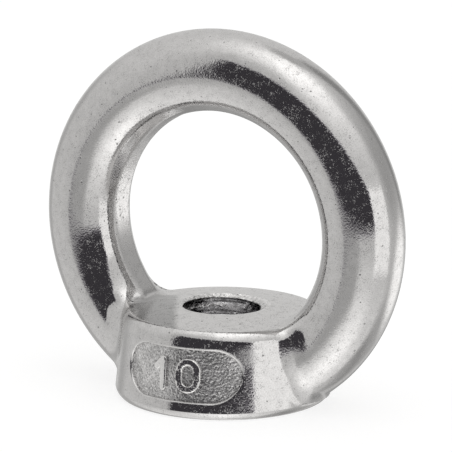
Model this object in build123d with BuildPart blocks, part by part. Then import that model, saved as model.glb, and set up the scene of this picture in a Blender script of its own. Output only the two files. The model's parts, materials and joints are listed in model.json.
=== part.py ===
"""Lifting eye nut, M10: one stainless casting, faced, rimmed and tapped.

Millimetres, +Z up. The origin is the centre of the seating face, on the axis of
the thread. The ring stands in the XZ plane, and the recessed panel looks along -Y.
"""

import os
from math import radians, sqrt, tan

from build123d import *

# ---- Driving dimensions (mm and degrees) ----------------------------------

# Ring
ring_outer_diameter = 45.0
section_diameter = 9.34  # of the ring's round section
land_width = 3.0  # flat trimmed round the inside of the ring
foot_margin = 2.39  # from the inner side of each leg, at the top of the collar, out to its wall

# Collar
collar_height = 9.74
collar_diameter = 25.0  # cast wall, carried down to the seating plane
wall_draft = 6.0  # the wall leans in towards the top
shoulder_radius = 2.0  # cast rounding between wall and top
facing_stock = 0.17  # machined off the top, so that the shoulder ends in an edge
leg_fillet = 3.0  # blend between the ring's legs and the collar

# Turned rim round the seating face
rim_inset = 0.6
rim_height = 0.85
rim_radius = 1.5

# Recessed panel in the front of the collar, measured over its rounded lip
panel_width = 14.2
panel_height = 6.35
panel_depth = 0.35
panel_lip_radius = 0.25
panel_shift = 0.5  # towards +X

# Threaded bore, made at the minor diameter of the thread
thread_diameter = 10.0
thread_pitch = 1.5
countersink_margin = 0.25  # the countersink is wider than the thread by this all round
countersink_angle = 120.0

# ---- Derived values -------------------------------------------------------

collar_radius = collar_diameter / 2
cast_height = collar_height + facing_stock
clear = ring_outer_diameter  # a length that reaches past everything


def wall_radius(height):
    """Radius of the collar's drafted wall at a height above the seat."""
    return collar_radius - height * tan(radians(wall_draft))


ring_outer_radius = ring_outer_diameter / 2
section_radius = section_diameter / 2
ring_mean_radius = ring_outer_radius - section_radius
eye_radius = ring_mean_radius - sqrt(section_radius**2 - (land_width / 2) ** 2)

# The inner sides of the legs meet the top of the collar at this radius, and that
# sets the height of the ring.
foot_radius = wall_radius(collar_height) - foot_margin
ring_centre_height = collar_height + sqrt(eye_radius**2 - foot_radius**2)

# The blank runs on below the seat until it has swallowed the bottom of the ring
# and the blend round it, and the seat is cut through them all.
blank_bottom = min(ring_centre_height - ring_outer_radius, 0) - leg_fillet

seat_radius = collar_radius - rim_inset
panel_centre_height = collar_height / 2

# An ISO metric thread's minor radius lies 5/8 of the height of a sharp
# 60-degree thread inside its major radius.
sharp_thread_height = thread_pitch * sqrt(3) / 2
bore_radius = thread_diameter / 2 - 5 / 8 * sharp_thread_height
countersink_radius = thread_diameter / 2 + countersink_margin


# ---- Panel cutter ---------------------------------------------------------
# A slot-shaped punch that comes in along Y and stops on a floor that follows the
# collar's wall. It is smaller than the panel by the lip that is rounded later.

with BuildPart() as panel_cutter:
    with BuildSketch(Plane.XZ):
        with Locations((panel_shift, panel_centre_height)):
            SlotOverall(panel_width - 2 * panel_lip_radius, panel_height - 2 * panel_lip_radius)
    extrude(amount=collar_radius)
    with BuildSketch(Plane.XZ):
        with BuildLine():
            Polyline(
                (0, 0),
                (wall_radius(0) - panel_depth, 0),
                (wall_radius(cast_height) - panel_depth, cast_height),
                (0, cast_height),
                close=True,
            )
        make_face()
    revolve(axis=Axis.Z, mode=Mode.SUBTRACT)

# ---- Eye nut --------------------------------------------------------------

with BuildPart() as eye_nut:
    # Collar blank: a drafted wall, a rounded shoulder, and the top already faced.
    with BuildSketch(Plane.XZ) as collar_profile:
        with BuildLine():
            Polyline(
                (0, blank_bottom),
                (wall_radius(blank_bottom), blank_bottom),
                (wall_radius(cast_height), cast_height),
                (0, cast_height),
                close=True,
            )
        make_face()
        top_corners = collar_profile.vertices().group_by(Axis.Y)[-1]
        fillet(top_corners.sort_by(Axis.X)[-1], shoulder_radius)
        with Locations((0, collar_height)):
            Rectangle(clear, clear, align=(Align.CENTER, Align.MIN), mode=Mode.SUBTRACT)
    revolve(axis=Axis.Z)

    # Ring: a round section, trimmed flat on its inner side.
    with BuildSketch(Plane.XY.offset(ring_centre_height)):
        with Locations((ring_mean_radius, 0)):
            Circle(section_radius)
        Rectangle(2 * eye_radius, section_diameter, mode=Mode.SUBTRACT)
    revolve(axis=Axis((0, 0, ring_centre_height), (0, 1, 0)))

    # The legs of the ring flow into the collar all the way round.
    fillet(eye_nut.edges(Select.NEW), leg_fillet)

    # Seat and rim are turned: what lies below the seat or outside the rim goes,
    # with the foot of each blend.
    with BuildSketch(Plane.XZ):
        with BuildLine():
            rim = RadiusArc((seat_radius, 0), (wall_radius(rim_height), rim_height), -rim_radius)
            Polyline(rim @ 1, (clear, rim_height), (clear, -clear), (0, -clear), (0, 0), rim @ 0)
        make_face()
    revolve(axis=Axis.Z, mode=Mode.SUBTRACT)

    # Recessed panel with its rounded lip.
    add(panel_cutter.part, mode=Mode.SUBTRACT)
    fillet(eye_nut.edges(Select.NEW), panel_lip_radius)

    # Bore, countersunk from both faces.
    with Locations((0, 0, collar_height), Location((0, 0, 0), (180, 0, 0))):
        CounterSinkHole(
            radius=bore_radius,
            counter_sink_radius=countersink_radius,
            depth=collar_height,
            counter_sink_angle=countersink_angle,
        )

eye_nut.part.label = "eye_nut"
os.makedirs("parts", exist_ok=True)
export_step(eye_nut.part, "parts/eye_nut.step")
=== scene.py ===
"""Lifting eye nut, M10, in polished cast stainless steel.

The shape is one signed field in millimetres, negative inside the metal. The ring
and the collar are fields of their own, joined with a rolling-ball blend and then
cut by the panel, which holds raised figures, the turned foot and the bore. The field
is meshed on a grid, with its edges kept sharp, and put into Blender in metres in the
frame of the CAD part.
"""

from __future__ import annotations

import json
import logging
import math
from collections.abc import Callable
from dataclasses import dataclass, field, fields
from enum import Enum

import bpy
import numpy as np
from mathutils import Matrix, Vector

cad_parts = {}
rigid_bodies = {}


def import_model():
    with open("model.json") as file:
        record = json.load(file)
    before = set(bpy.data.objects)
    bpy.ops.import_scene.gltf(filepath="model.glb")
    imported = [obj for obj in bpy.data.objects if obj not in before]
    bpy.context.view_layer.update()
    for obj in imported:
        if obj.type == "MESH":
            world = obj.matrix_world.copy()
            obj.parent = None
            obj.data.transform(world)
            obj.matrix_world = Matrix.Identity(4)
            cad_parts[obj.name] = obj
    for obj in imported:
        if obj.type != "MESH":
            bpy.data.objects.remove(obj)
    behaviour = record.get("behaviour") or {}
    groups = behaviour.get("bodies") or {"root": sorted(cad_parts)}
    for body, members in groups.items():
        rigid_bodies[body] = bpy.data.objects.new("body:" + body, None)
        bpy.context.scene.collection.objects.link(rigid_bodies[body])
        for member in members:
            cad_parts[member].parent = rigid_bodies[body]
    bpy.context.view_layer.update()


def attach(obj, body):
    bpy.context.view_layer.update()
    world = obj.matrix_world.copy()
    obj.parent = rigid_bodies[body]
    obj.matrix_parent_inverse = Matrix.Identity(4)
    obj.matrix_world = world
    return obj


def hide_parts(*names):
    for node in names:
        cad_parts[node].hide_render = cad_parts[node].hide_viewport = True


LOG = logging.getLogger("eye_nut")
MM = 0.001  # metres in a millimetre
TINY = 1e-9  # keeps lengths that are divided by off nought
Array = np.ndarray
Span = tuple[float, float]
Stops = tuple[Span, ...]


def soft(value: Array, low: float, high: float) -> Array:
    """Go smoothly from 0 at low to 1 at high: 3 s^2 - 2 s^3 of the share s between."""
    share = np.clip((value - low) / (high - low), 0, 1)
    return share * share * (3 - 2 * share)


# ---- Fields ---------------------------------------------------------------


@dataclass
class Place:
    """Points to be measured, with the distance from the axis of the thread."""

    x: Array
    y: Array
    z: Array

    def __post_init__(self) -> None:
        """Work out the distance from the axis of the thread."""
        self.radius = np.maximum(np.hypot(self.x, self.y), TINY)


@dataclass
class Form:
    """A solid as a signed distance, negative inside, with its outward normals.

    The normals have rows x, y and z.
    """

    far: Array
    normal: Array

    def __neg__(self) -> Form:
        """The space outside the solid."""
        return Form(-self.far, -self.normal)

    def meet(self, other: Form, radius: float = 0.0) -> Form:
        """Intersect with another solid and round the corner between them.

        Where a point lies beyond both surfaces, each moved inwards by the radius,
        its distance is measured from the line in which they meet: the root of
        (u^2 + v^2 - 2uvc) / (1 - c^2), less the radius, with c the cosine between
        the normals. Elsewhere the larger of the two distances counts.

        Args:
            other: The other solid.
            radius: Radius of the rounding.

        Returns:
            The rounded intersection.
        """
        cosine = np.sum(self.normal * other.normal, axis=0)
        u = self.far + radius
        v = other.far + radius
        spread = np.maximum(1 - cosine * cosine, 1e-3)  # not nought for parallel faces
        beyond = (u > cosine * v) & (v > cosine * u)
        square = np.maximum(u * u + v * v - 2 * cosine * u * v, 1e-12)
        corner = np.sqrt(square / spread)
        share = np.where(beyond, (u - cosine * v) / (corner * spread), u >= v)
        rest = np.where(beyond, (v - cosine * u) / (corner * spread), u < v)
        normal = share * self.normal + rest * other.normal
        return Form(np.where(beyond, corner, np.maximum(u, v)) - radius, normal)

    def join(self, other: Form, radius: float = 0.0) -> Form:
        """Unite with another solid, with a rolling-ball blend in the corner between."""
        return -((-self).meet(-other, radius))


@dataclass
class Ring:
    """The ring: a round section with a trimmed inner side, standing in XZ."""

    outer_radius: float = 22.485
    section_radius: float = 4.67
    land_width: float = 3.5
    trim_angle: float = 137.5  # degrees round the section at which the trimming starts
    trim_drift: float = 12.0  # degrees later that it starts low down than at the crown
    drift_start: float = 30.0  # degrees down from the crown at which that begins
    drift_end: float = 110.0  # and at which it is complete
    trim_edge: float = 4.5  # radius where the trimming starts
    land_edge: float = 2.0  # and where the land does
    centre_height: float = 19.6
    eye_radius: float = 13.36

    def __post_init__(self) -> None:
        """Work out the mean radius."""
        self.mean_radius = self.outer_radius - self.section_radius

    def measure(self, at: Place) -> Form:
        """Measure the ring.

        The field is the distance from the section's centre circle less the section
        radius, cut by the cylinder of the eye and by a cone on each side of it. The
        cone's chord starts at the trim angle and ends at the land, and it gets
        smoothly shorter from the crown down to the sides.

        Args:
            at: Points to measure.

        Returns:
            The ring.
        """
        rise = at.z - self.centre_height
        out = np.maximum(np.hypot(at.x, rise), TINY)
        across = out - self.mean_radius
        reach = np.maximum(np.hypot(across, at.y), TINY)
        land_angle = math.pi - math.asin(self.land_width / 2 / self.section_radius)
        down = np.degrees(np.arctan2(np.abs(at.x), rise))
        drift = self.trim_drift * soft(down, self.drift_start, self.drift_end)
        start = np.radians(self.trim_angle + drift)
        lean = (start + land_angle) / 2
        depth = self.section_radius * np.cos((land_angle - start) / 2)

        def spin(outward: Array, sideways: Array) -> Array:
            """Turn a direction in the section into rows x, y and z."""
            return np.stack([outward * at.x / out, sideways, outward * rise / out])

        nought = np.zeros_like(out)
        tube = Form(reach - self.section_radius, spin(across / reach, at.y / reach))
        trim = Form(
            across * np.cos(lean) + np.abs(at.y) * np.sin(lean) - depth,
            spin(np.cos(lean), np.where(at.y < 0, -1.0, 1.0) * np.sin(lean)),
        )
        land = Form(self.eye_radius - out, spin(nought - 1, nought))
        return tube.meet(trim, self.trim_edge).meet(land, self.land_edge)


@dataclass
class Collar:
    """The collar: a drafted wall, a rounded shoulder and a slightly crowned top.

    The edge between the seat and the wall is turned to an arc, the rim.
    """

    height: float = 9.765
    foot_radius: float = 12.485
    draft: float = math.radians(6.0)
    shoulder_radius: float = 1.6
    facing_stock: float = 0.13  # how far the cast top stood above the faced one
    crown: float = 0.74  # how far the top's middle stands above its edge
    fall: float = 0.0172  # slope of the top, down to the back
    top_radius: float = 10.3
    rim_inset: float = 0.6
    rim_height: float = 0.85
    rim_radius: float = 1.5

    def wall(self, at: Place) -> Form:
        """The cone of the drafted wall."""
        wall_radius = self.foot_radius - at.z * math.tan(self.draft)
        flat = math.cos(self.draft) / at.radius
        rise = np.full_like(at.z, math.sin(self.draft))
        return Form(
            (at.radius - wall_radius) * math.cos(self.draft),
            np.stack([flat * at.x, flat * at.y, rise]),
        )

    def top(self, at: Place) -> Form:
        """The crowned top: a paraboloid that falls a little to the back."""
        share = at.radius / self.top_radius
        slope = 2 * self.crown / self.top_radius**2
        level = self.height - self.fall * at.y
        way = np.stack([slope * at.x, slope * at.y + self.fall, np.ones_like(at.z)])
        steep = np.linalg.norm(way, axis=0)
        return Form((at.z - level - self.crown * (1 - share * share)) / steep, way / steep)

    def measure(self, at: Place) -> Form:
        """Measure the collar above the seat.

        The wall and the cast top meet in a rounded corner, and the crowned
        face cuts it a little lower down.

        Args:
            at: Points to measure.

        Returns:
            The collar.
        """
        nought = np.zeros_like(at.z)
        level = Form(
            at.z - self.height - self.facing_stock + self.fall * at.y,
            np.stack([nought, nought + self.fall, nought + 1]),
        )
        body = self.wall(at).meet(level, self.shoulder_radius)
        top = self.top(at)
        faced = (at.radius < self.top_radius) | (top.far > body.far)
        return Form(np.where(faced, top.far, body.far), np.where(faced, top.normal, body.normal))

    def turning(self, at: Place) -> Array:
        """Measure what the lathe leaves at the foot: the seat and its rounded rim.

        The rim is an arc through the edge of the seat and the foot of the wall.

        Args:
            at: Points to measure.

        Returns:
            The field of the material that stays.
        """
        start_x = self.foot_radius - self.rim_inset
        end_x = self.foot_radius - self.rim_height * math.tan(self.draft)
        chord_x, chord_z = end_x - start_x, self.rim_height
        chord = math.hypot(chord_x, chord_z)
        back = math.sqrt(self.rim_radius**2 - chord**2 / 4) / chord
        centre_x = (start_x + end_x) / 2 - back * chord_z
        centre_z = chord_z / 2 + back * chord_x
        out = np.maximum(at.radius - centre_x, 0)
        down = np.minimum(at.z - centre_z, 0)
        rim = np.hypot(out, down) - self.rim_radius
        return np.maximum(-at.z, np.minimum(self.rim_height - at.z, rim))


@dataclass
class Panel:
    """The recessed panel in the front of the collar, with round ends."""

    width: float = 14.2
    height: float = 6.35
    depth: float = 0.35
    lip_radius: float = 0.25
    centre_x: float = 0.5
    centre_z: float = 4.87

    def offset(self, at: Place) -> tuple[Array, Array]:
        """Steps in X and Z from the nearest point of the panel's middle line."""
        across = at.x - self.centre_x
        run = np.maximum(np.abs(across) - (self.width - self.height) / 2, 0)
        return run * np.sign(across), at.z - self.centre_z

    def outline(self, at: Place) -> Array:
        """Distance in the XZ plane to the outline inside the lip."""
        return np.hypot(*self.offset(at)) - (self.height / 2 - self.lip_radius)

    def cut(self, body: Form, wall: Form, at: Place) -> Array:
        """Cut the panel into the body.

        In front, the body is kept outside the outline, with the lip rounded, and
        inside it only below the floor, which follows the wall.

        Args:
            body: The body.
            wall: The collar's wall.
            at: Points to measure.

        Returns:
            The field of the body with the panel.
        """
        run, rise = self.offset(at)
        away = np.maximum(np.hypot(run, rise), TINY)
        inward = -np.stack([run / away, np.zeros_like(run), rise / away])
        rim = body.meet(Form(-self.outline(at), inward), self.lip_radius)
        floor = np.maximum(body.far, wall.far + self.depth)
        return np.where(at.y < 0, np.minimum(rim.far, floor), body.far)


@dataclass
class Figures:
    """Plain raised figures on the panel's floor: a one and a nought."""

    height: float = 3.9
    stroke: float = 0.78
    rise: float = 0.33
    edge: float = 0.1  # radius of the rounded edges
    root: float = 1.0  # how far into the metal the figures reach down
    nought_width: float = 2.9
    flag: float = 0.85  # how far the flag of the one reaches out, and down
    one_x: float = -1.75
    nought_x: float = 1.35

    def strokes(self, x: Array, z: Array) -> Array:
        """Distance in the plane to the middle line of the nearest stroke.

        The nought is an obround line. The one is a stem with a flag at its top,
        each the distance to a straight run between two points.

        Args:
            x: Places across, from the middle of the panel.
            z: Heights, from the middle of the panel.

        Returns:
            The distance.
        """
        tall = (self.height - self.stroke) / 2
        bend = (self.nought_width - self.stroke) / 2
        over = np.maximum(np.abs(z) - (tall - bend), 0)
        found = np.abs(np.hypot(x - self.nought_x, over) - bend)
        stem = (0.0, -tall, 0.0, tall)
        flag = (-self.flag, tall - self.flag, 0.0, tall)
        for x0, z0, x1, z1 in (stem, flag):
            run_x, run_z = x1 - x0, z1 - z0
            u, v = x - self.one_x - x0, z - z0
            share = np.clip((u * run_x + v * run_z) / (run_x**2 + run_z**2), 0, 1)
            found = np.minimum(found, np.hypot(u - share * run_x, v - share * run_z))
        return found

    def add(self, body: Array, floor: Array, panel: Panel, at: Place) -> Array:
        """Raise the figures on the panel's floor, with rounded edges.

        Args:
            body: Field of the body.
            floor: Distance to the panel's floor.
            panel: The panel.
            at: Points to measure.

        Returns:
            The field with the figures.
        """
        side = self.strokes(at.x - panel.centre_x, at.z - panel.centre_z) - self.stroke / 2
        u, v = side + self.edge, floor - self.rise + self.edge
        raised = np.hypot(np.maximum(u, 0), np.maximum(v, 0)) + np.minimum(np.maximum(u, v), 0)
        front = (at.y < 0) & (floor > -self.root)
        return np.where(front, np.minimum(body, raised - self.edge), body)


@dataclass
class Bore:
    """The tapped through bore with a countersink at each end."""

    major_radius: float = 5.0
    pitch: float = 1.5
    thread_lean: float = math.radians(30.0)  # of a flank, out of the level
    sink_radius: float = 5.25
    half_angle: float = math.radians(60.0)
    top: float = 10.33  # height at which the upper countersink opens
    mouth_radius: float = 5.0  # of the upper countersink
    clear: float = 0.6  # how far above that height the cut ends

    def __post_init__(self) -> None:
        """Work out the minor radius: 5/8 of the sharp height inside the major one."""
        self.minor_radius = self.major_radius - 5 / 8 * self.pitch * math.sqrt(3) / 2

    def cut(self, body: Array, at: Place) -> Array:
        """Cut the bore, its thread and its countersinks into the body.

        The thread is a right-hand helix: the axial distance from the middle of the
        groove is the height less the turn's share of the pitch, wrapped to half a
        pitch, and a flank lies at 30 degrees across the axis.

        Args:
            body: Field of the body.
            at: Points to measure.

        Returns:
            The field of the body with the bore.
        """
        turn = at.z / self.pitch - np.arctan2(at.y, at.x) / math.tau
        axial = np.abs(turn - np.round(turn)) * self.pitch
        flank = (3 / 8 * self.pitch - axial) * math.cos(self.thread_lean)
        flank -= (at.radius - self.minor_radius) * math.sin(self.thread_lean)
        hole = np.minimum(self.major_radius - at.radius, flank)
        hole = np.maximum(hole, self.minor_radius - at.radius)
        for depth, radius in ((self.top - at.z, self.mouth_radius), (at.z, self.sink_radius)):
            sink = (radius - at.radius) * math.cos(self.half_angle)
            hole = np.maximum(hole, sink - depth * math.sin(self.half_angle))
        return np.maximum(body, np.minimum(hole, self.top + self.clear - at.z))


# ---- Meshing --------------------------------------------------------------


@dataclass
class Skin:
    """A closed mesh of quads with a normal for every corner, in millimetres."""

    points: Array
    quads: Array
    normals: Array


@dataclass
class Mesher:
    """Meshes a field on a grid of lines, and keeps its edges sharp."""

    measure: Callable[[Array, Array, Array], Array]  # x, y and z -> the field
    lines: tuple[Array, Array, Array]
    step: float = 1e-3  # to each side, for a gradient
    halvings: int = 9  # of a grid edge, to find the surface on it
    weak: float = 0.003  # share of the strongest direction below which one is left out
    inset: float = 0.2  # share of the way to a quad's middle at which it is probed
    crease: float = math.radians(14.0)  # turn of the normal on that way that makes an edge

    def at(self, points: Array) -> Array:
        """Field at points given as rows of x, y, z."""
        return self.measure(points[:, 0], points[:, 1], points[:, 2])

    def slope(self, points: Array) -> Array:
        """Unit gradient by central differences, one row for each point."""
        found = np.empty_like(points)
        for axis in range(3):
            shift = np.zeros(3)
            shift[axis] = self.step
            found[:, axis] = self.at(points + shift) - self.at(points - shift)
        return found / np.maximum(np.linalg.norm(found, axis=1, keepdims=True), 1e-12)

    def mesh(self) -> Skin:
        """Mesh the field by dual contouring.

        Each grid edge that the surface crosses gives a point p and a normal n. Each
        cell's vertex is the point that lies nearest to all the tangent planes of
        its edges, found from the eigenvectors of the sum of n n^T, with weak ones
        left out. Each crossed edge gives one quad through its four cells.

        Returns:
            The mesh.
        """
        shape = tuple(len(line) for line in self.lines)
        grid = np.meshgrid(*self.lines, indexing="ij")
        inside = self.measure(*(part.ravel() for part in grid)).reshape(shape) < 0
        self.fill(inside)
        cells = tuple(n - 1 for n in shape)
        sums = np.zeros((math.prod(cells), 13))  # columns as settle() reads them
        quads = []
        for axis in range(3):
            low = [slice(None)] * 3
            high = [slice(None)] * 3
            low[axis], high[axis] = slice(None, -1), slice(1, None)
            index = np.argwhere(inside[tuple(low)] != inside[tuple(high)])
            ahead = index.copy()
            ahead[:, axis] += 1
            start = np.stack([self.lines[k][index[:, k]] for k in range(3)], 1)
            end = np.stack([self.lines[k][ahead[:, k]] for k in range(3)], 1)
            crossing = self.cross(start, end)
            normal = self.slope(crossing)
            offset = np.einsum("ij,ij->i", normal, crossing)
            rows = np.column_stack([
                (normal[:, :, None] * normal[:, None, :]).reshape(-1, 9)[:, [0, 1, 2, 4, 5, 8]],
                normal * offset[:, None],
                crossing,
                np.ones(len(index)),
            ])
            u, v = (axis + 1) % 3, (axis + 2) % 3
            corners = []
            for back_u, back_v in ((1, 1), (0, 1), (0, 0), (1, 0)):
                cell = index.copy()
                cell[:, u] -= back_u
                cell[:, v] -= back_v
                flat = np.ravel_multi_index(tuple(cell.T), cells)
                corners.append(flat)
                for column in range(sums.shape[1]):
                    sums[:, column] += np.bincount(flat, rows[:, column], len(sums))
            ring = np.stack(corners, 1)
            outward = inside[tuple(index.T)]
            quads.append(np.where(outward[:, None], ring, ring[:, ::-1]))
        quads = np.concatenate(quads)
        active, quads = np.unique(quads, return_inverse=True)
        quads = quads.reshape(-1, 4)
        points = self.settle(sums[active], np.stack(np.unravel_index(active, cells), 1))
        return Skin(points, quads, self.corner_normals(points, quads))

    def fill(self, inside: Array) -> None:
        """Fill grid faces whose corners are inside and outside by turns.

        Such a face would give an edge that four quads share.

        Args:
            inside: For each grid point, whether it lies in the metal. Changed in place.
        """
        for axis in range(3):
            face = np.moveaxis(inside, axis, 0)
            parts = face[:, :-1, :-1], face[:, 1:, :-1], face[:, :-1, 1:], face[:, 1:, 1:]
            mixed = (parts[0] == parts[3]) & (parts[1] == parts[2]) & (parts[0] != parts[1])
            for part in parts:
                part[mixed] = True

    def cross(self, start: Array, end: Array) -> Array:
        """Find where the surface crosses grid edges, by repeated halving.

        Args:
            start: Lower ends of the edges.
            end: Upper ends.

        Returns:
            The crossing points.
        """
        sign = self.at(start) < 0
        low, high = start.copy(), end.copy()
        for _ in range(self.halvings):
            middle = (low + high) / 2
            same = (self.at(middle) < 0) == sign
            low[same] = middle[same]
            high[~same] = middle[~same]
        return (low + high) / 2

    def settle(self, sums: Array, cell: Array) -> Array:
        """Place one vertex in each active cell.

        Args:
            sums: For each cell, the six parts of the sum of n n^T, the sum of
                n (n . p), the sum of p, and the count.
            cell: Grid index of each cell.

        Returns:
            The vertices.
        """
        count = sums[:, 12:13]
        middle = sums[:, 9:12] / count
        square = sums[:, [0, 1, 2, 1, 3, 4, 2, 4, 5]].reshape(-1, 3, 3)
        rest = sums[:, 6:9] - np.einsum("nij,nj->ni", square, middle)
        size, axes = np.linalg.eigh(square)
        strong = size > self.weak * size[:, 2:3]
        gain = np.where(strong, 1 / np.maximum(size, TINY), 0.0)
        along = np.einsum("nij,ni->nj", axes, rest) * gain
        points = middle + np.einsum("nij,nj->ni", axes, along)
        low = np.stack([self.lines[k][cell[:, k]] for k in range(3)], 1)
        high = np.stack([self.lines[k][cell[:, k] + 1] for k in range(3)], 1)
        points = np.clip(points, low, high)
        points -= self.at(points)[:, None] * self.slope(points)
        return np.clip(points, low, high)

    def corner_normals(self, points: Array, quads: Array) -> Array:
        """Take a normal for every corner of every quad.

        A corner takes the gradient at its vertex, unless the gradient a little way
        towards the middle of the quad differs, as it does beside an edge. Then it
        takes that one.

        Args:
            points: Vertices.
            quads: Vertex indices of the quads.

        Returns:
            One row for each corner.
        """
        at_vertex = self.slope(points)[quads].reshape(-1, 3)
        corner = points[quads]
        middle = corner.mean(axis=1, keepdims=True)
        within = self.slope((corner + self.inset * (middle - corner)).reshape(-1, 3))
        agree = np.einsum("ij,ij->i", at_vertex, within) > math.cos(self.crease)
        return np.where(agree[:, None], at_vertex, within)


def spaced(*stops: Span) -> Array:
    """Grid lines from stop to stop, each stop a place and the step up to the next."""
    runs = []
    for (start, step), (end, _) in zip(stops, stops[1:]):
        count = max(1, round((end - start) / step))
        runs.append(np.linspace(start, end, count, endpoint=False))
    return np.concatenate([*runs, [stops[-1][0]]])


def put_mesh(
    name: str,
    skin: Skin,
    zones: Array,
    wear: dict[str, Array],
    finishes: list[bpy.types.Material],
) -> bpy.types.Object:
    """Put a skin into Blender as an object at the origin, in metres.

    Args:
        name: Name of the piece.
        skin: The mesh.
        zones: Index of the finish for each quad.
        wear: Attribute name -> its value at each vertex, from 0 to 1.
        finishes: The finishes.

    Returns:
        The object.
    """
    mesh = bpy.data.meshes.new(name)
    count = len(skin.quads)
    mesh.vertices.add(len(skin.points))
    mesh.vertices.foreach_set("co", (skin.points * MM).astype(np.float32).ravel())
    mesh.loops.add(4 * count)
    mesh.loops.foreach_set("vertex_index", skin.quads.astype(np.int32).ravel())
    mesh.polygons.add(count)
    mesh.polygons.foreach_set("loop_start", np.arange(0, 4 * count, 4, dtype=np.int32))
    mesh.polygons.foreach_set("material_index", zones.astype(np.int32))
    mesh.update(calc_edges=True)
    mesh.shade_smooth()
    mesh.normals_split_custom_set(skin.normals.astype(np.float32))
    # Among these shares is the patch where the left leg's dark reflection is painted.
    for label, share in wear.items():
        made = mesh.attributes.new(label, "FLOAT", "POINT")
        made.data.foreach_set("value", share.astype(np.float32))
    for finish in finishes:
        mesh.materials.append(finish)
    piece = bpy.data.objects.new(name, mesh)
    bpy.context.scene.collection.objects.link(piece)
    return piece


# ---- Shader helpers -------------------------------------------------------


class Nodes:
    """Short ways to make and join shader nodes in one tree."""

    def __init__(self, tree: bpy.types.NodeTree) -> None:
        """Keep the tree."""
        self.tree = tree

    def add(self, kind: str, inputs: dict | None = None, **settings: object) -> bpy.types.Node:
        """Add a node, set its properties, and set or link its inputs.

        Args:
            kind: Name of the node type.
            inputs: Input name or number -> a value, or a socket to link from.
            settings: Properties of the node.

        Returns:
            The node.
        """
        node = self.tree.nodes.new(kind)
        for name, value in settings.items():
            setattr(node, name, value)
        for key, value in (inputs or {}).items():
            if isinstance(value, bpy.types.NodeSocket):
                self.tree.links.new(value, node.inputs[key])
            else:
                node.inputs[key].default_value = value
        return node

    def link(self, value: bpy.types.NodeSocket, node: bpy.types.Node, name: str) -> None:
        """Link a socket to a node's input."""
        self.tree.links.new(value, node.inputs[name])

    def math(self, operation: str, *values: object) -> bpy.types.NodeSocket:
        """Apply a Math operation to values or sockets and return its output."""
        node = self.add("ShaderNodeMath", dict(enumerate(values)), operation=operation)
        return node.outputs[0]

    def ramp(self, value: object, low: object, high: object) -> bpy.types.NodeSocket:
        """Rise smoothly from 0 at low to 1 at high and return the output."""
        node = self.add(
            "ShaderNodeMapRange",
            {"Value": value, "From Min": low, "From Max": high},
            interpolation_type="SMOOTHSTEP",
        )
        return node.outputs["Result"]

    def mix(self, share: object, a: object, b: object) -> bpy.types.NodeSocket:
        """Mix two numbers by a share and return the output."""
        node = self.add("ShaderNodeMix", {0: share, 2: a, 3: b}, data_type="FLOAT")
        return node.outputs[0]

    def blend(self, share: object, a: object, b: object) -> bpy.types.NodeSocket:
        """Mix two colours by a share and return the output."""
        node = self.add("ShaderNodeMix", {0: share, 6: a, 7: b}, data_type="RGBA")
        return node.outputs[2]


def make_group(
    name: str, inputs: dict[str, float], outputs: list[str]
) -> tuple[Nodes, dict[str, bpy.types.NodeSocket], bpy.types.Node]:
    """Start a shader node group.

    Args:
        name: Name of the group.
        inputs: Input name -> default value. The name Vector makes a vector input.
        outputs: Names of the outputs.

    Returns:
        The nodes, the group's input sockets by name, and its output node.
    """
    tree = bpy.data.node_groups.new(name, "ShaderNodeTree")
    for label, value in inputs.items():
        kind = "NodeSocketVector" if label == "Vector" else "NodeSocketFloat"
        socket = tree.interface.new_socket(name=label, in_out="INPUT", socket_type=kind)
        if kind == "NodeSocketFloat":
            socket.default_value = value
    for label in outputs:
        tree.interface.new_socket(name=label, in_out="OUTPUT", socket_type="NodeSocketFloat")
    nodes = Nodes(tree)
    entry = nodes.add("NodeGroupInput")
    return nodes, {label: entry.outputs[label] for label in inputs}, nodes.add("NodeGroupOutput")


# ---- Finishes -------------------------------------------------------------


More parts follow.
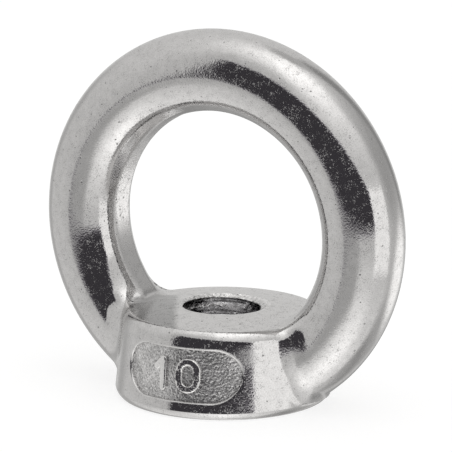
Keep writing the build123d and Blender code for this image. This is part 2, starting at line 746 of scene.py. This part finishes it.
def grain_group() -> bpy.types.NodeTree:
    """Group for the skin of a casting: two sizes of grain and scattered pits.

    A pit lies in the middle of a Voronoi cell. Its size, as a share of the cell, is
    0.26 times the cell's random tint to the power 2.5, so that few pits are large,
    and its floor reaches out to 0.4 of that size. The tone is a speckle a little
    finer than the fine grain, with a fainter cloud finer than the wave.

    Returns:
        The group, with the outputs Height, in metres, Pit, which is 1 in a pit, and
        Tone, a fine noise about nought.
    """
    nodes, given, out = make_group(
        "casting_grain",
        {
            "Vector": 0.0,
            "Fine Size": 0.2,
            "Fine Height": 0.001,
            "Wave Size": 3.0,
            "Wave Height": 0.01,
            "Pit Spacing": 1.2,
            "Pit Depth": 0.01,
        },
        ["Height", "Pit", "Tone"],
    )
    place = nodes.add(
        "ShaderNodeVectorMath", {0: given["Vector"], 1: (1 / MM,) * 3}, operation="MULTIPLY"
    ).outputs["Vector"]

    def noise(size: bpy.types.NodeSocket, detail: float) -> bpy.types.NodeSocket:
        """Noise about nought, with features of a size in millimetres."""
        scale = nodes.math("DIVIDE", 1.0, size)
        node = nodes.add("ShaderNodeTexNoise", {"Vector": place, "Scale": scale, "Detail": detail})
        return nodes.math("SUBTRACT", node.outputs["Fac"], 0.5)

    fine = nodes.math("MULTIPLY", noise(given["Fine Size"], 2.0), given["Fine Height"])
    wave = nodes.math("MULTIPLY", noise(given["Wave Size"], 1.0), given["Wave Height"])
    cells = nodes.add(
        "ShaderNodeTexVoronoi",
        {"Vector": place, "Scale": nodes.math("DIVIDE", 1.0, given["Pit Spacing"])},
    )
    tint = nodes.add("ShaderNodeSeparateColor", {0: cells.outputs["Color"]}).outputs[0]
    size = nodes.math("MULTIPLY", nodes.math("POWER", tint, 2.5), 0.26)
    flat = nodes.math("MULTIPLY", size, 0.4)
    pit = nodes.ramp(cells.outputs["Distance"], size, flat)
    sunk = nodes.math("MULTIPLY", pit, given["Pit Depth"])
    height = nodes.math("SUBTRACT", nodes.math("ADD", fine, wave), sunk)
    nodes.link(nodes.math("MULTIPLY", height, MM), out, "Height")
    nodes.link(pit, out, "Pit")
    finer, cloud_share = 0.7, 0.4
    speck = noise(nodes.math("MULTIPLY", given["Fine Size"], finer), 2.0)
    cloud = noise(nodes.math("MULTIPLY", given["Wave Size"], finer), 1.0)
    nodes.link(nodes.math("MULTIPLY_ADD", cloud, cloud_share, speck), out, "Tone")
    return nodes.tree


@dataclass(frozen=True)
class WearAndReflectionLook:
    """How wear, grain and the painted dark reflection of the left leg show, the same way in every
    finish.

    A shade is a share of the way from a finish's colour to its dark tone.
    """

    pit_roughness: float = 0.45  # added in a pit
    nib_tone: Span = (0.06, 0.22)  # range of the tone in which nibs rise
    plain_shade: float = 0.25  # for each unit of speckle
    satin_shade: float = 0.13
    dull_shade: float = 1.15  # painted dark reflection of the left leg, added in its patch of the top face
    # speckle in the patch of that painted reflection
    dull_speckle: float = 2.0
    pitted_speckle: float = 2.4
    pitted_height: float = 0.06  # height of the fine grain, in millimetres


WEAR_AND_REFLECTION_LOOK = WearAndReflectionLook()


@dataclass(frozen=True)
class SteelFinish:
    """A finish of the steel. Lengths are in millimetres."""

    name: str
    color: tuple[float, float, float]
    roughness: float
    satin_roughness: float
    fine_size: float
    fine_height: float
    wave_size: float = 3.0
    wave_height: float = 0.0
    pit_spacing: float = 1.2
    pit_depth: float = 0.0
    shade: float = 0.0  # how much darker the dark tone is
    speckle: float = 0.0  # how strongly the fine grain shows as a tone
    nibs: float = 0.0  # how much rougher the tops of the grain are

    def material(self, grain: bpy.types.NodeTree) -> bpy.types.Material:
        """Make the material.

        Args:
            grain: The casting grain group.

        Returns:
            The material.
        """
        made = bpy.data.materials.new(self.name)
        made.use_nodes = True
        nodes = Nodes(made.node_tree)
        shader = made.node_tree.nodes["Principled BSDF"]
        shader.inputs["Metallic"].default_value = 1.0
        place = nodes.add("ShaderNodeTexCoord").outputs["Object"]
        satin, pitted, dull = (
            nodes.add("ShaderNodeAttribute", attribute_name=label).outputs["Fac"]
            for label in ("satin", "pitted", "dull")
        )
        skin = nodes.add(
            "ShaderNodeGroup",
            {
                "Vector": place,
                "Fine Size": self.fine_size,
                "Fine Height": nodes.mix(pitted, self.fine_height, WEAR_AND_REFLECTION_LOOK.pitted_height),
                "Wave Size": self.wave_size,
                "Wave Height": self.wave_height,
                "Pit Spacing": self.pit_spacing,
                "Pit Depth": self.pit_depth,
            },
            node_tree=grain,
        )
        rough = nodes.mix(satin, self.roughness, self.satin_roughness)
        rough = nodes.math("MULTIPLY_ADD", skin.outputs["Pit"], WEAR_AND_REFLECTION_LOOK.pit_roughness, rough)
        nibs = nodes.ramp(skin.outputs["Tone"], *WEAR_AND_REFLECTION_LOOK.nib_tone)
        rough = nodes.math("MULTIPLY_ADD", nibs, self.nibs, rough)
        nodes.link(rough, shader, "Roughness")
        bump = nodes.add(
            "ShaderNodeBump", {"Height": skin.outputs["Height"], "Distance": 1.0, "Strength": 1.0}
        )
        nodes.link(bump.outputs["Normal"], shader, "Normal")
        strong = nodes.mix(pitted, self.speckle, WEAR_AND_REFLECTION_LOOK.pitted_speckle)
        # Stronger speckle in the patch where the left leg's dark reflection is painted.
        strong = nodes.mix(dull, strong, WEAR_AND_REFLECTION_LOOK.dull_speckle)
        start = nodes.mix(satin, self.speckle * WEAR_AND_REFLECTION_LOOK.plain_shade, WEAR_AND_REFLECTION_LOOK.satin_shade)
        speckle = nodes.math("MULTIPLY_ADD", skin.outputs["Tone"], strong, start)
        # Painted dark reflection of the left leg: its patch of the top face goes to the dark tone.
        speckle = nodes.math("MULTIPLY_ADD", dull, WEAR_AND_REFLECTION_LOOK.dull_shade, speckle)
        dark = tuple(part * (1 - self.shade) for part in self.color)
        darkness = nodes.math("MAXIMUM", skin.outputs["Pit"], speckle)
        tone = nodes.blend(darkness, (*self.color, 1.0), (*dark, 1.0))
        nodes.link(tone, shader, "Base Color")
        return made


POLISHED = SteelFinish(
    "polished_steel", (0.71, 0.701, 0.696), 0.045, 0.2, fine_size=0.2, fine_height=0.008,
    wave_size=1.2, wave_height=0.006, pit_spacing=0.7, pit_depth=0.016, shade=0.5, speckle=1.0,
    nibs=0.5,
)
AS_CAST = SteelFinish(
    "as_cast_steel", (0.92, 0.91, 0.905), 0.29, 0.29, fine_size=0.27, fine_height=0.11,
    pit_spacing=0.45, pit_depth=0.03, shade=0.65, speckle=2.3,
)
TURNED = SteelFinish(
    "turned_steel", (0.8, 0.795, 0.8), 0.1, 0.1, fine_size=0.25, fine_height=0.004,
    shade=0.4, speckle=0.3,
)
BURNISHED = SteelFinish(
    "burnished_steel", (0.9, 0.89, 0.88), 0.06, 0.06, fine_size=0.2, fine_height=0.01,
    shade=0.5, speckle=0.8, nibs=0.5,
)
TORN = SteelFinish(
    "torn_steel", (0.84, 0.83, 0.825), 0.14, 0.14, fine_size=0.5, fine_height=0.16,
    shade=0.6, speckle=1.4,
)


# ---- The eye nut ----------------------------------------------------------


class Zone(Enum):
    """Parts of the surface with a finish of their own."""

    POLISHED = 0
    AS_CAST = 1
    TURNED = 2
    BURNISHED = 3
    TORN = 4


@dataclass(frozen=True)
class SkinPlaces:
    """Where the skin of the casting changes, in millimetres.

    A span holds the place where a share is 0 and the place where it is 1.
    """

    floor_past: float = 0.05  # past the panel's outline, to which its floor reaches
    floor_off: float = 0.06  # off the floor, at most
    figures_past: float = -0.3  # past the outline, to which the figures reach
    figures_low: float = -0.2  # off the wall, where they start
    figures_y: float = -9.0
    bore_past: float = 0.02  # past the radius of the lower countersink
    torn_depth: float = 0.5  # how far down the upper countersink its skin is torn
    faced_off: Span = (0.08, 0.02)  # off the top face
    faced_radius: Span = (10.6, 10.4)
    land_past: Span = (0.1, -0.15)  # past a side of the land
    land_off: Span = (0.1, 0.03)  # off the ring
    land_out: Span = (0.2, 0.1)  # outside the eye
    pits_foot: Span = (18.0, 21.0)  # height
    pits_head: Span = (29.5, 25.5)  # height
    # The patch of the top face at the foot of the left leg where the leg's dark reflection is
    # painted.
    dull_turn: float = math.radians(29.13)  # of the dull patch, round the thread's axis
    dull_off: Span = (0.5, 0.1)  # off the top face
    dull_radius: Span = (10.7, 10.55)
    dull_across: Span = (-4.9, -6.2)
    dull_along: Span = (5.4, 4.0)
    spot_x: float = 7.7
    spot_z: float = 7.1
    spot_y: float = -6.0
    spot_radius: Span = (1.7, 0.5)


@dataclass
class EyeNut:
    """The whole nut: one casting with its ring, collar, panel and bore."""

    ring: Ring = field(default_factory=Ring)
    collar: Collar = field(default_factory=Collar)
    panel: Panel = field(default_factory=Panel)
    figures: Figures = field(default_factory=Figures)
    bore: Bore = field(default_factory=Bore)
    places: SkinPlaces = field(default_factory=SkinPlaces)
    leg_fillet: float = 3.0

    def measure(self, x: Array, y: Array, z: Array) -> Array:
        """Measure the nut.

        The ring and the collar are joined with a blend, which is the rounded
        corner of the space outside them both. Then the turned foot, the panel and
        the bore are cut.

        Args:
            x: Places across the ring.
            y: Places through it.
            z: Heights above the seat.

        Returns:
            The field.
        """
        at = Place(x, y, z)
        wall = self.collar.wall(at)
        body = self.ring.measure(at).join(self.collar.measure(at), self.leg_fillet)
        body = self.panel.cut(body, wall, at)
        body = self.figures.add(body, wall.far + self.panel.depth, self.panel, at)
        return self.bore.cut(np.maximum(body, self.collar.turning(at)), at)

    def zones(self, skin: Skin) -> Array:
        """Choose the finish of each quad by the place of its middle.

        The panel's floor is as cast, and the figures on it are burnished. The bore
        is turned, and the upper edge of its countersink is torn.

        Args:
            skin: The mesh.

        Returns:
            Value of the zone of each quad.
        """
        at, places = Place(*skin.points[skin.quads].mean(axis=1).T), self.places
        past, wall = self.panel.outline(at), self.collar.wall(at).far
        floor = np.abs(wall + self.panel.depth) < places.floor_off
        floor &= (at.y < 0) & (past < places.floor_past)
        raised = (past < places.figures_past) & (wall > places.figures_low)
        raised &= (at.y < places.figures_y) & ~floor
        bore = at.radius < self.bore.sink_radius + places.bore_past
        bore &= at.z < self.bore.top
        zones = np.full(len(skin.quads), Zone.POLISHED.value)
        zones[floor] = Zone.AS_CAST.value
        zones[raised] = Zone.BURNISHED.value
        zones[bore] = Zone.TURNED.value
        zones[bore & (at.z > self.bore.top - places.torn_depth)] = Zone.TORN.value
        return zones

    def wear(self, points: Array) -> dict[str, Array]:
        """Say how the skin of the casting varies, and where the left leg's dark reflection is
        painted.

        The top face between the legs and the land are satin, and so is a spot in
        front, beside the panel. The land beside the eye is pitted. A patch of the
        top face, at the foot of the left leg, holds the leg's painted dark reflection
        and a stronger speckle. Each share is 1 well inside its region and falls
        smoothly to 0 at its border.

        Args:
            points: Vertices in millimetres.

        Returns:
            Attribute name -> share at each vertex.
        """
        at, places = Place(*points.T), self.places
        off_top = np.abs(self.collar.top(at).far)
        faced = soft(off_top, *places.faced_off) * soft(at.radius, *places.faced_radius)
        out = np.hypot(at.x, at.z - self.ring.centre_height) - self.ring.eye_radius
        land = soft(np.abs(at.y) - self.ring.land_width / 2, *places.land_past)
        land *= soft(self.ring.measure(at).far, *places.land_off) * soft(out, *places.land_out)
        pitted = land * (soft(at.z, *places.pits_foot) * soft(at.z, *places.pits_head))
        # Painted dark reflection of the left leg on the top face, with a stronger speckle.
        turn_x, turn_y = math.cos(places.dull_turn), math.sin(places.dull_turn)
        dull = soft(off_top, *places.dull_off) * soft(at.radius, *places.dull_radius)
        across = soft(turn_x * at.x + turn_y * at.y, *places.dull_across)
        dull *= across * soft(turn_x * at.y - turn_y * at.x, *places.dull_along)
        away = np.hypot(at.x - places.spot_x, at.z - places.spot_z)
        spot = soft(away, *places.spot_radius) * (at.y < places.spot_y)
        satin = np.maximum(np.maximum(faced, land), spot)
        return {"satin": satin, "pitted": pitted, "dull": dull}

    def build(self, finishes: list[bpy.types.Material]) -> bpy.types.Object:
        """Mesh the nut and put it in place of the CAD node.

        The grid is finer where the panel and the bore are.

        Args:
            finishes: The finishes, in the order of the zones.

        Returns:
            The nut.
        """
        lines = (
            spaced((-22.8, 0.4), (-7.56, 0.19), (8.64, 0.4), (22.8, 0.4)),
            spaced((-12.9, 0.17), (-9.8, 0.3), (12.9, 0.33)),
            spaced((-0.35, 0.2), (1.4, 0.17), (8.4, 0.22), (11.2, 0.4), (42.6, 0.4)),
        )
        skin = Mesher(self.measure, lines).mesh()
        piece = put_mesh("cast_body", skin, self.zones(skin), self.wear(skin.points), finishes)
        LOG.info("cast body: %d vertices, %d quads", len(skin.points), len(skin.quads))
        return piece


# ---- Studio ---------------------------------------------------------------


@dataclass(frozen=True)
class Card:
    """A soft-edged field of light or dark on the studio's wall, in degrees.

    Azimuth 0 is straight in front of the nut and grows towards +X. The top and
    bottom edges may slope, in degrees of elevation for each degree of azimuth. The
    level is one strength, or stops of elevation and strength.
    """

    left: float
    right: float
    bottom: float
    top: float
    level: float | Stops
    softness: float = 6.0  # of the bottom and top edges
    side_softness: float = 1.0  # of the left and right edges
    bottom_slope: float = 0.0
    top_slope: float = 0.0
    top_bend: float = 0.0  # change of the top's slope for each degree of azimuth
    oval: bool = False

    def inputs(self) -> dict[str, float]:
        """Name and value of each input of the card group that describes the card."""
        given = {
            part.name.replace("_", " ").title(): float(getattr(self, part.name))
            for part in fields(self)
            if part.name not in ("left", "right", "level")
        }
        centre = (self.left + self.right) / 2
        return given | {"Centre": centre, "Half Width": self.right - centre}


def card_group() -> bpy.types.NodeTree:
    """Group that masks one card on the studio's wall.

    A rectangle is the product of soft steps at its four edges. An oval is one soft
    step where the root of the sum of squares of the shares of its half axes is 1.

    Returns:
        The group, whose output Mask is 1 inside the card and 0 outside.
    """
    plain = Card(-30, 30, -10, 10, 0.5)
    nodes, given, out = make_group(
        "studio_card", {"Azimuth": 0.0, "Elevation": 0.0, **plain.inputs()}, ["Mask"]
    )
    across = nodes.math("SUBTRACT", given["Azimuth"], given["Centre"])
    across = nodes.math("WRAP", across, 180.0, -180.0)
    reach = nodes.math("SUBTRACT", given["Half Width"], nodes.math("ABSOLUTE", across))
    bottom = nodes.math("MULTIPLY_ADD", across, given["Bottom Slope"], given["Bottom"])
    rate = nodes.math("MULTIPLY_ADD", across, given["Top Bend"], given["Top Slope"])
    top = nodes.math("MULTIPLY_ADD", across, rate, given["Top"])
    above = nodes.math("SUBTRACT", given["Elevation"], bottom)
    below = nodes.math("SUBTRACT", top, given["Elevation"])

    def step(value: bpy.types.NodeSocket, width: bpy.types.NodeSocket) -> bpy.types.NodeSocket:
        """Rise smoothly from 0 to 1 as a value goes from minus a width to plus it."""
        return nodes.ramp(value, nodes.math("MULTIPLY", width, -1.0), width)

    mask = step(reach, given["Side Softness"])
    for inward in (above, below):
        mask = nodes.math("MULTIPLY", mask, step(inward, given["Softness"]))
    half = nodes.math("MULTIPLY", nodes.math("SUBTRACT", top, bottom), 0.5)
    rise = nodes.math("DIVIDE", nodes.math("SUBTRACT", above, half), half)
    run = nodes.math("DIVIDE", across, given["Half Width"])
    square = nodes.math("MULTIPLY_ADD", rise, rise, nodes.math("MULTIPLY", run, run))
    within = nodes.math("SUBTRACT", 1.0, nodes.math("SQRT", square))
    oval = step(within, nodes.math("DIVIDE", given["Softness"], half))
    nodes.link(nodes.mix(given["Oval"], mask, oval), out, "Mask")
    return nodes.tree


@dataclass
class Studio:
    """Camera, pale floor, and a light tent with cards and an opening for the camera.

    The camera's angles are in degrees, its distance and target in millimetres. The
    levels of the tent are pairs of elevation and strength.
    """

    azimuth: float = 29.135
    elevation: float = 13.788
    roll: float = 0.112
    distance: float = 486.5
    lens: float = 343.47
    target: tuple[float, float, float] = (1.372, -2.047, 20.04)
    gain: float = 1.0 / 0.6  # makes up for what the steel doesn't reflect
    daylight: tuple[float, float, float] = (1.0, 0.995, 0.985)  # tint of the tent
    dusk: tuple[float, float, float] = (1.02, 0.95, 1.08)  # tint of the doorway
    floor_radius: float = 1.6  # metres
    floor_sides: int = 96
    floor_grey: float = 0.34
    floor_glow: float = 0.75
    tent: Stops = (
        (-90, 0.58), (-75, 0.61), (-65, 0.60), (-55, 0.56), (-45, 0.52), (-35, 0.48),
        (-25, 0.45), (0, 0.42), (35, 0.46), (50, 0.49), (60, 0.54), (70, 0.64), (80, 0.78),
        (90, 0.92),
    )
    front_top: Stops = (
        (0, 0.42), (25, 0.46), (35, 0.53), (45, 0.62), (55, 0.72), (65, 0.85), (75, 0.95),
        (90, 0.95),
    )
    front_foot: Stops = (
        (-90, 0.66), (-78, 0.76), (-65, 0.87), (-55, 0.91), (-45, 0.79), (-35, 0.65),
        (-25, 0.53), (-12, 0.42),
    )
    far_side: Stops = (
        (-90, 0.42), (-75, 0.42), (-65, 0.28), (-55, 0.23), (-45, 0.30), (-30, 0.36),
        (-10, 0.36), (10, 0.27), (25, 0.28), (35, 0.34), (45, 0.40), (55, 0.48), (65, 0.60),
        (75, 0.84), (90, 0.93),
    )

    def cards(self) -> tuple[Card, ...]:
        """List the cards, each laid over the ones before it, with the doorway last."""
        return (
            # Wide lights over the front and under it, and the far side of the tent.
            Card(24, 116, 10, 130, self.front_top, side_softness=30),
            Card(-5, 57, -130, -8, self.front_foot, side_softness=30),
            Card(110, 182, -130, 130, self.far_side, side_softness=14),
            Card(9, 134, 58, 130, self.front_top, softness=8, side_softness=32),
            # Shades at the back, to the left and in front.
            Card(163, 181, -8, 50, 0.2, softness=8, side_softness=5),
            Card(162, 196, 49, 69, 0.33, softness=5, side_softness=8),
            Card(-146, -107, -66, -22, 0.31, softness=9, side_softness=10),
            Card(-127, -105, -30, 14, 0.31, softness=9, side_softness=9),
            Card(-46, 9, -20, 58, 0.39, softness=13, side_softness=13),
            Card(-30, 14, -29, -10, 0.29, side_softness=8),
            Card(-172, -137, -62, -14, 0.22, softness=5, side_softness=7),
            # Two bright cards to the right.
            Card(58, 103, -24, 15, 0.71, softness=2.5, side_softness=3),
            Card(124, 172, -36, -7, 0.82, softness=7, side_softness=7, oval=True),
            # The doorway, nearly black, in which the camera stands.
            Card(
                -30, 61, -9.2, 34, 0.03, softness=2, bottom_slope=0.085, top_slope=-0.31,
                top_bend=-0.0035,
            ),
        )

    def camera(self) -> None:
        """Place the camera on its arc round the target."""
        a, e, r = (math.radians(v) for v in (self.azimuth, self.elevation, self.roll))
        back = Vector((math.sin(a) * math.cos(e), -math.cos(a) * math.cos(e), math.sin(e)))
        right = Vector((math.cos(a), math.sin(a), 0.0))
        up = back.cross(right)
        level = math.cos(r) * right + math.sin(r) * up
        upright = back.cross(level)
        data = bpy.data.cameras.new("camera")
        data.lens = self.lens
        data.sensor_width = 36.0
        data.clip_start, data.clip_end = 0.05, 20.0
        camera = bpy.data.objects.new("camera", data)
        turn = Matrix((level, upright, back)).transposed().to_4x4()
        place = (Vector(self.target) + self.distance * back) * MM
        camera.matrix_world = Matrix.Translation(place) @ turn
        bpy.context.scene.collection.objects.link(camera)
        bpy.context.scene.camera = camera

    def levels(
        self, nodes: Nodes, elevation: bpy.types.NodeSocket, stops: Stops
    ) -> bpy.types.NodeSocket:
        """Read a level from stops.

        Args:
            nodes: The world's nodes.
            elevation: Elevation in degrees.
            stops: Pairs of elevation and strength.

        Returns:
            The level.
        """
        share = nodes.add(
            "ShaderNodeMapRange", {"Value": elevation, "From Min": -90.0, "From Max": 90.0}
        ).outputs["Result"]
        ramp = nodes.add("ShaderNodeValToRGB", {0: share})
        ramp.color_ramp.interpolation = "EASE"
        marks = ramp.color_ramp.elements
        while len(marks) < len(stops):
            marks.new(0.5)
        for mark, (height, level) in zip(marks, stops):
            mark.position = (height + 90) / 180
            mark.color = (level, level, level, 1.0)
        return ramp.outputs["Color"]

    def world(self) -> None:
        """Make the tent: levels by elevation, then each card over the last.

        The mask of the last card, the doorway, tints its light too. The camera itself
        sees plain white behind the nut.
        """
        world = bpy.data.worlds.new("studio")
        world.use_nodes = True
        bpy.context.scene.world = world
        nodes = Nodes(world.node_tree)
        way = nodes.add("ShaderNodeTexCoord").outputs["Generated"]
        parts = nodes.add("ShaderNodeSeparateXYZ", {0: way}).outputs
        turn = nodes.math("ARCTAN2", parts["X"], nodes.math("MULTIPLY", parts["Y"], -1.0))
        azimuth = nodes.math("DEGREES", turn)
        elevation = nodes.math("DEGREES", nodes.math("ARCSINE", parts["Z"]))
        group = card_group()
        level = self.levels(nodes, elevation, self.tent)
        for card in self.cards():
            own = card.level
            if isinstance(own, tuple):
                own = self.levels(nodes, elevation, own)
            given = {"Azimuth": azimuth, "Elevation": elevation, **card.inputs()}
            share = nodes.add("ShaderNodeGroup", given, node_tree=group).outputs["Mask"]
            level = nodes.mix(share, level, own)
        strength = nodes.math("MULTIPLY", level, self.gain)
        seen = nodes.add("ShaderNodeLightPath").outputs["Is Camera Ray"]
        shown = nodes.mix(seen, strength, 1.0)
        shader = world.node_tree.nodes["Background"]
        nodes.link(shown, shader, "Strength")
        tint = nodes.blend(share, (*self.daylight, 1.0), (*self.dusk, 1.0))
        nodes.link(nodes.blend(seen, tint, (1.0,) * 4), shader, "Color")

    def floor(self) -> None:
        """Make the floor: pale, holding the nut's shadow, and open to reflections."""
        turn = np.linspace(0, math.tau, self.floor_sides, endpoint=False)
        rim = np.stack([np.cos(turn), np.sin(turn), np.zeros_like(turn)], 1) * self.floor_radius
        mesh = bpy.data.meshes.new("floor")
        mesh.from_pydata(rim.tolist(), [], [list(range(self.floor_sides))])
        floor = bpy.data.objects.new("floor", mesh)
        bpy.context.scene.collection.objects.link(floor)
        made = bpy.data.materials.new("pale_floor")
        made.use_nodes = True
        nodes = Nodes(made.node_tree)
        made.node_tree.nodes.remove(made.node_tree.nodes["Principled BSDF"])
        grey = (*(self.floor_grey,) * 3, 1.0)
        matt = nodes.add("ShaderNodeBsdfDiffuse", {"Color": grey}).outputs[0]
        glow = nodes.add("ShaderNodeEmission", {"Strength": self.floor_glow}).outputs[0]
        pale = nodes.add("ShaderNodeAddShader", {0: matt, 1: glow}).outputs[0]
        path = nodes.add("ShaderNodeLightPath").outputs
        through = nodes.math("MAXIMUM", path["Is Glossy Ray"], path["Is Shadow Ray"])
        clear = nodes.add("ShaderNodeBsdfTransparent").outputs[0]
        mixed = nodes.add("ShaderNodeMixShader", {0: through, 1: pale, 2: clear}).outputs[0]
        nodes.link(mixed, made.node_tree.nodes["Material Output"], "Surface")
        mesh.materials.append(made)


def corners(box: tuple[Vector, Vector]) -> list[list[float]]:
    """Corners of a box as plain lists."""
    return [list(corner) for corner in box]


def main() -> None:
    """Build the nut and the studio, in order."""
    logging.basicConfig(level=logging.INFO, format="%(name)s: %(message)s")
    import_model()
    bpy.context.scene.view_settings.view_transform = "Standard"
    grain = grain_group()
    finishes = [finish.material(grain) for finish in (POLISHED, AS_CAST, TURNED, BURNISHED, TORN)]
    body = EyeNut().build(finishes)
    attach(body, "root")
    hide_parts("eye_nut")
    studio = Studio()
    studio.camera()
    studio.world()
    studio.floor()
    LOG.info("boxes written")


if __name__ == "__main__":
    main()
